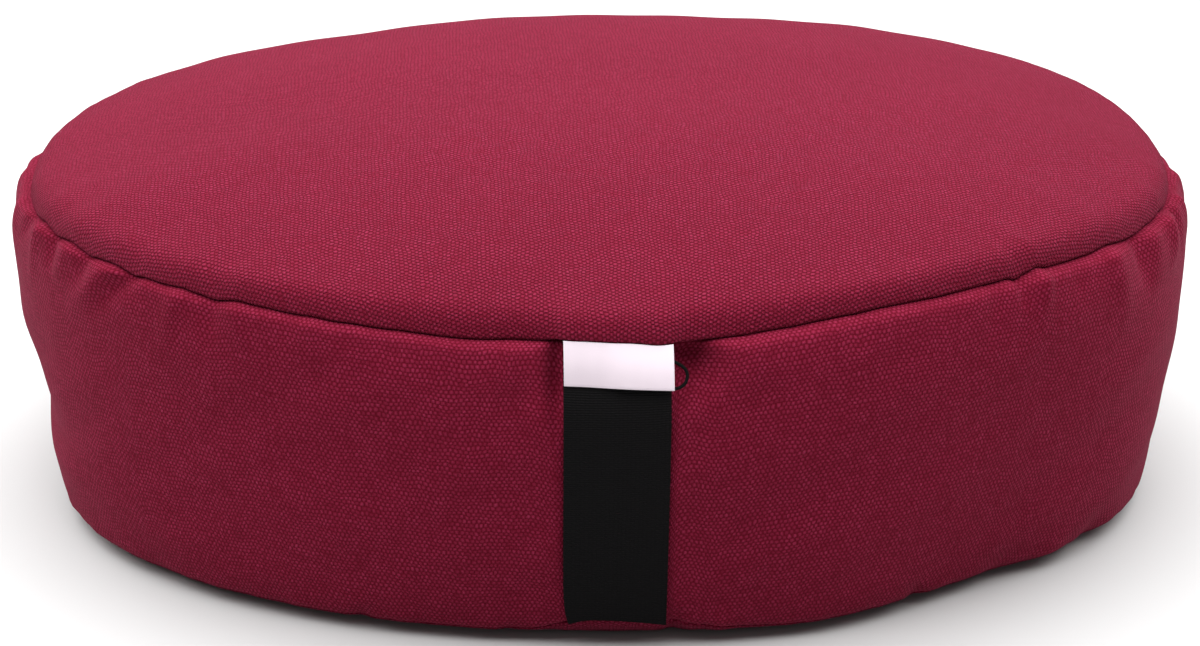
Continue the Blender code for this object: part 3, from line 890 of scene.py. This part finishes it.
def duck_material():
    """Raspberry cotton duck: its grains, its uneven yarns, its fuzz and a faint pink sheen, with painted
    shade in the gaps and painted highlights on the crowns.
    """
    material, tree, shader = new_material("raspberry_duck")
    uv = add_node(tree, "ShaderNodeUVMap", uv_map="weave").outputs["UV"]
    wander = add_node(tree, "ShaderNodeTexNoise", {
        "Vector": uv, "Scale": WANDER_SCALE, "Detail": 4.0, "Roughness": 0.62,
    })
    wander_parts = add_node(tree, "ShaderNodeSeparateColor", {"Color": wander.outputs["Color"]})
    across = add_node(tree, "ShaderNodeSeparateXYZ", {"Vector": uv})
    thick = sums(tree, "DIVIDE", across.outputs["X"], THICK_PITCH)
    thick = sums(tree, "MULTIPLY_ADD", wander_parts.outputs["Red"], THICK_WANDER, thick)
    fine = sums(tree, "DIVIDE", across.outputs["Y"], FINE_PITCH)
    fine = sums(tree, "MULTIPLY_ADD", wander_parts.outputs["Green"], FINE_WANDER, fine)
    thick_yarn = sums(tree, "ROUND", thick)
    fine_yarn = sums(tree, "ROUND", fine)
    yarn_round = sums(tree, "ABSOLUTE", sums(tree, "COSINE", sums(tree, "MULTIPLY", thick, math.pi)))
    float_place = sums(tree, "MULTIPLY", sums(tree, "ADD", fine, thick_yarn), math.pi)
    float_wave = sums(tree, "MULTIPLY_ADD", sums(tree, "COSINE", float_place), 0.5, 0.5)
    blunt_yarn = sums(tree, "POWER", yarn_round, YARN_BLUNTNESS)
    blunt_float = sums(tree, "POWER", float_wave, FLOAT_BLUNTNESS)
    crimp = sums(tree, "MULTIPLY", blunt_yarn, blunt_float)
    grain_place = add_node(tree, "ShaderNodeCombineXYZ", {"X": thick_yarn, "Y": fine_yarn})
    grain_chance = add_node(tree, "ShaderNodeTexWhiteNoise", {"Vector": grain_place.outputs[0]})
    grain_size = sums(tree, "MULTIPLY_ADD", grain_chance.outputs["Value"], GRAIN_SPREAD, SMALLEST_GRAIN)
    crimp = sums(tree, "MULTIPLY", crimp, grain_size)
    grain = sums(tree, "MULTIPLY_ADD", crimp, GRAIN_HEIGHT, GRAIN_FLOOR)
    thick_slub = yarn_noise(tree, thick_yarn, fine, yarn_step=3.7, along_step=0.09)
    fine_slub = yarn_noise(tree, fine_yarn, thick, yarn_step=5.3, along_step=0.13)
    slub = sums(tree, "MULTIPLY_ADD", sums(tree, "ADD", thick_slub, fine_slub), SLUB, 1.0 - SLUB)
    fuzz = add_node(tree, "ShaderNodeTexNoise", {"Vector": uv, "Scale": FUZZ_SCALE, "Detail": 2.0})
    yarns = sums(tree, "MULTIPLY", grain, slub)
    height = sums(tree, "MULTIPLY_ADD", fuzz.outputs["Fac"], FUZZ_HEIGHT, yarns)
    # Painted shade: the colour darkens where the weave is low, so the gaps between the grains look
    # shaded.
    yarn = mixed(tree, height, YARN_PAINTED_GAP_SHADE, YARN_LIGHT)
    # Painted highlight: the highest crowns turn whitish, partly real fuzz and partly painted light they
    # catch.
    crown = mixed(tree, sums(tree, "POWER", height, CROWN_POWER), yarn, CROWN_FUZZ_AND_HIGHLIGHT)
    patch = add_node(tree, "ShaderNodeTexNoise", {"Vector": uv, "Scale": PATCH_SCALE, "Detail": 4.0})
    patch_value = add_node(tree, "ShaderNodeMapRange", {
        "Value": patch.outputs["Fac"], "From Min": 0.3, "From Max": 0.7,
        "To Min": PATCH_DARK, "To Max": PATCH_PALE,
    })
    toned = add_node(tree, "ShaderNodeHueSaturation", {
        "Color": crown, "Value": patch_value.outputs[0],
    })
    panel = add_node(tree, "ShaderNodeAttribute", attribute_name="panel").outputs["Fac"]
    depth = sums(tree, "MULTIPLY_ADD", panel, PANEL_RELIEF - BAND_RELIEF, BAND_RELIEF)
    dress(tree, shader, toned.outputs["Color"], height, depth, roughness=0.9, gloss=0.05)
    shader.inputs["Sheen Weight"].default_value = DUCK_SHEEN
    shader.inputs["Sheen Roughness"].default_value = DUCK_SHEEN_ROUGHNESS
    shader.inputs["Sheen Tint"].default_value = DUCK_SHEEN_TINT
    return material


cushion_cover = ring_object("cushion_cover", cover_points)
add_weave_uv(cushion_cover, cover_points, cover_places)
cushion_cover.data.materials.append(duck_material())
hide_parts("cushion")
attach(cushion_cover, "root")


# ---- Carry strap -----------------------------------------------------------------------------------
# Black 38 mm cotton webbing, laid flat down the band and sewn into both seams. It is stiff and close
# woven, with thin ribs across and a rounded woven edge on each side.
STRAP_THICKNESS = 0.0013
STRAP_ROWS = 90
STRAP_COLUMNS = 16
EDGE_ROUNDING = 0.35
SHARP_DEGREES = 50.0
# It lies this far off the band, and starts and ends at these shares of the way down it. By its lower end
# the left edge is pulled in this much, over this length.
STRAP_LIFT = 0.0003
STRAP_START = 0.012
STRAP_END = 0.992
STRAP_CURL = 0.0022
STRAP_CURL_LENGTH = 0.007
FRONT_SAMPLES = 241
SLOPE_STEP = 0.004
# The webbing's ribs across and cords along, how far both wander, and how deep the steps between them are.
RIB_PITCH = 0.00088
CORD_PITCH = 0.00150
RIB_WANDER = 1.0
CORD_WANDER = 0.8
CORD_GROOVE = 0.35
CROSSING_STEP = 0.25
WEBBING_RELIEF = 0.00025
WEBBING_DARK = (0.0036, 0.0034, 0.0036, 1.0)
WEBBING_PALE = (0.0074, 0.0068, 0.0072, 1.0)

front_angles = np.linspace(FRONT - FRONT_REACH, FRONT + FRONT_REACH, FRONT_SAMPLES)
front_places = seam_plan(front_angles)[:, 0]


def front_point(x, drop, proud):
    """Point this far off the unfolded band at the front, square to its slope."""
    angle = np.interp(x, front_places, front_angles)
    above = plain_band(angle, np.maximum(drop - SLOPE_STEP, 0.0))
    below = plain_band(angle, drop + SLOPE_STEP)
    slope = np.stack([0.0 * x, below[..., 2] - above[..., 2], above[..., 1] - below[..., 1]], axis=-1)
    slope /= np.linalg.norm(slope, axis=-1, keepdims=True)
    point = plain_band(angle, drop) + slope * np.asarray(proud)[..., None]
    point[..., 0] = x
    return point


def sheet_object(name, points, thickness, uv):
    """A sheet of quads through a grid of points, thickened outwards from its back, with a UV map."""
    rows, columns = points.shape[:2]
    row, column = np.meshgrid(np.arange(rows - 1), np.arange(columns - 1), indexing="ij")
    first = (row * columns + column).ravel()
    faces = np.stack([first, first + columns, first + columns + 1, first + 1], axis=-1)
    mesh = bpy.data.meshes.new(name)
    mesh.from_pydata(points.reshape(-1, 3).tolist(), [], faces.tolist())
    mesh.uv_layers.new(name="weave").data.foreach_set("uv", uv.reshape(-1, 2)[faces].ravel())
    mesh.shade_smooth()
    item = bpy.data.objects.new(name, mesh)
    bpy.context.collection.objects.link(item)
    bpy.ops.object.select_all(action="DESELECT")
    item.select_set(True)
    bpy.context.view_layer.objects.active = item
    solid = item.modifiers.new("thickness", "SOLIDIFY")
    solid.thickness = thickness
    solid.offset = 1.0
    round_off = item.modifiers.new("rounded_edges", "BEVEL")
    round_off.width = thickness * EDGE_ROUNDING
    round_off.segments = 2
    round_off.limit_method = "ANGLE"
    bpy.ops.object.modifier_apply(modifier=solid.name)
    bpy.ops.object.modifier_apply(modifier=round_off.name)
    bpy.ops.object.shade_smooth_by_angle(angle=math.radians(SHARP_DEGREES))
    return item


def webbing_material():
    """Black webbing: thin ribs across, over lengthwise cords, in two faintly different blacks."""
    material, tree, shader = new_material("black_webbing")
    uv = add_node(tree, "ShaderNodeUVMap", uv_map="weave").outputs["UV"]
    across = add_node(tree, "ShaderNodeSeparateXYZ", {"Vector": uv})
    wander = add_node(tree, "ShaderNodeTexNoise", {"Vector": uv, "Scale": 90.0, "Detail": 2.0})
    cord = sums(tree, "DIVIDE", across.outputs["X"], CORD_PITCH)
    cord = sums(tree, "MULTIPLY_ADD", wander.outputs["Fac"], CORD_WANDER, cord)
    rib = sums(tree, "DIVIDE", across.outputs["Y"], RIB_PITCH)
    rib = sums(tree, "MULTIPLY_ADD", wander.outputs["Fac"], RIB_WANDER, rib)
    cord_round = sums(tree, "ABSOLUTE", sums(tree, "SINE", sums(tree, "MULTIPLY", cord, math.pi)))
    rib_round = sums(tree, "ABSOLUTE", sums(tree, "SINE", sums(tree, "MULTIPLY", rib, math.pi)))
    step = sums(tree, "ADD", sums(tree, "FLOOR", cord), sums(tree, "FLOOR", rib))
    parity = sums(tree, "PINGPONG", step, 1.0)
    cords = sums(tree, "MULTIPLY_ADD", cord_round, CORD_GROOVE, 1.0 - CORD_GROOVE)
    crossings = sums(tree, "MULTIPLY_ADD", parity, CROSSING_STEP, 1.0 - CROSSING_STEP)
    height = sums(tree, "MULTIPLY", sums(tree, "MULTIPLY", cords, rib_round), crossings)
    colour = mixed(tree, height, WEBBING_DARK, WEBBING_PALE)
    dress(tree, shader, colour, height, WEBBING_RELIEF, roughness=0.85, gloss=0.05)
    return material


strap_rows = np.linspace(STRAP_START, STRAP_END, STRAP_ROWS)[:, None]
strap_sides = np.linspace(-STRAP_WIDTH / 2, STRAP_WIDTH / 2, STRAP_COLUMNS)[None, :]
strap_curl = STRAP_CURL * np.exp((strap_rows - STRAP_END) * SEAM_HEIGHT / STRAP_CURL_LENGTH)
strap_x = STRAP_X + strap_sides + strap_curl * (0.5 - strap_sides / STRAP_WIDTH)
strap_points = front_point(strap_x, strap_rows + 0.0 * strap_sides, STRAP_LIFT + 0.0 * strap_x)
strap_uv = np.stack([strap_x, lengths_down(strap_points)], axis=-1)
webbing_strap = sheet_object("webbing_strap", strap_points, STRAP_THICKNESS, strap_uv)
webbing_strap.data.materials.append(webbing_material())
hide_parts("carry_strap")
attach(webbing_strap, "root")


# ---- Label -----------------------------------------------------------------------------------------
# A bare white woven tape, folded once at its lower edge, with both ends caught in the top seam over the
# strap. It is stiff, and hangs straight from under the top panel's edge to its fold, just off the strap.
LABEL_WIDTH = 0.0387
LABEL_THICKNESS = 0.00035
LABEL_LAYER_GAP = 0.0002
LABEL_ROWS = 26
LABEL_COLUMNS = 21
# The root, in millimetres from the top seam's line, and how far right of the strap's middle the label is.
LABEL_ROOT = LipStep(1.0, 0.4)
LABEL_ASIDE = 0.0005
# How far down the band the fold's left end lies, how much lower it gets per metre to the right, how far
# it stands off the band, and how far the face bulges between root and fold.
LABEL_END = 0.0132
LABEL_END_SLANT = 0.046
LABEL_LIFT = 0.0022
LABEL_BULGE = 0.0010
# The fold lifts this much more over the loop, from this x on, and has all of it this much further right.
LABEL_OVER_LOOP = 0.0018
LOOP_FROM = -0.013
LOOP_RISE_LENGTH = 0.015
TAPE_RELIEF = 0.00004
TAPE_DARK = (0.585, 0.50, 0.552, 1.0)
TAPE_PALE = (0.70, 0.604, 0.667, 1.0)


def label_material():
    """White woven tape with fine ribs."""
    material, tree, shader = new_material("white_label_tape")
    uv = add_node(tree, "ShaderNodeUVMap", uv_map="weave").outputs["UV"]
    weave = add_node(tree, "ShaderNodeTexNoise", {"Vector": uv, "Scale": 3000.0, "Detail": 1.0})
    ribs = add_node(tree, "ShaderNodeTexWave", {
        "Vector": uv, "Scale": 900.0, "Distortion": 0.6, "Detail": 1.0,
    }, bands_direction="Y")
    height = sums(tree, "MULTIPLY_ADD", weave.outputs["Fac"], 0.5, ribs.outputs["Fac"])
    colour = mixed(tree, height, TAPE_DARK, TAPE_PALE)
    dress(tree, shader, colour, height, TAPE_RELIEF, roughness=0.5, gloss=0.5)
    return material


label_height = SEAM_HEIGHT + station_value(np.array(FRONT), "lift") - foot_seam_height(np.array(FRONT))
label_share = np.linspace(0.0, 1.0, LABEL_ROWS)[:, None]
label_sides = np.linspace(-LABEL_WIDTH / 2, LABEL_WIDTH / 2, LABEL_COLUMNS)[None, :]
label_x = STRAP_X + LABEL_ASIDE + label_sides + 0.0 * label_share
label_end = LABEL_END + LABEL_END_SLANT * (label_sides + LABEL_WIDTH / 2)
over_loop = LABEL_OVER_LOOP * eased((label_x[:1] - LOOP_FROM) / LOOP_RISE_LENGTH)
label_angles = np.interp(label_x[:1], front_places, front_angles)
label_root = lip_ring(label_angles, LABEL_ROOT)
label_root[..., 0] = label_x[:1]
label_fold = front_point(label_x[:1], label_end / label_height, LABEL_LIFT + over_loop)
label_front = label_root + (label_fold - label_root) * label_share[..., None]
label_front[..., 1] -= LABEL_BULGE * np.sin(math.pi * label_share)
label_back = (label_front + np.array([0.0, LABEL_LAYER_GAP, 0.0]))[::-1]
label_points = np.concatenate([label_front, label_back])
label_uv = np.stack([label_points[..., 0], lengths_down(label_points)], axis=-1)
blank_label = sheet_object("blank_label", label_points, LABEL_THICKNESS, label_uv)
blank_label.data.materials.append(label_material())
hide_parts("label")
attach(blank_label, "root")


# ---- Studio ----------------------------------------------------------------------------------------
# A plain floor of white paper, just under the cushion, and one very large soft light flat above it, a
# little behind and to the left, with faint light from all round.
FLOOR_SIZE = 14.0
FLOOR_HEIGHT = -0.0002
FLOOR_COLOUR = (0.51, 0.51, 0.51, 1.0)
LIGHT_LENGTH = 2.9
LIGHT_WIDTH = 1.9
LIGHT_PLACE = (-0.16, 0.17, 0.95)
LIGHT_POWER = 72.0
ROOM_COLOUR = (1.0, 1.0, 1.0, 1.0)
ROOM_STRENGTH = 0.24

bpy.ops.object.select_all(action="DESELECT")
bpy.ops.mesh.primitive_plane_add(size=FLOOR_SIZE, location=(0.0, 0.0, FLOOR_HEIGHT))
floor = bpy.context.active_object
floor.name = "studio_floor"
floor_material, _, floor_shader = new_material("white_paper")
floor_shader.inputs["Base Color"].default_value = FLOOR_COLOUR
floor_shader.inputs["Roughness"].default_value = 0.9
floor.data.materials.append(floor_material)

light_data = bpy.data.lights.new("overhead", "AREA")
light_data.shape = "RECTANGLE"
light_data.size = LIGHT_LENGTH
light_data.size_y = LIGHT_WIDTH
light_data.energy = LIGHT_POWER
overhead = bpy.data.objects.new("overhead", light_data)
bpy.context.collection.objects.link(overhead)
overhead.location = LIGHT_PLACE
overhead.visible_camera = False

world = bpy.data.worlds.new("studio")
bpy.context.scene.world = world
world.use_nodes = True
background = world.node_tree.nodes["Background"]
background.inputs["Color"].default_value = ROOM_COLOUR
background.inputs["Strength"].default_value = ROOM_STRENGTH
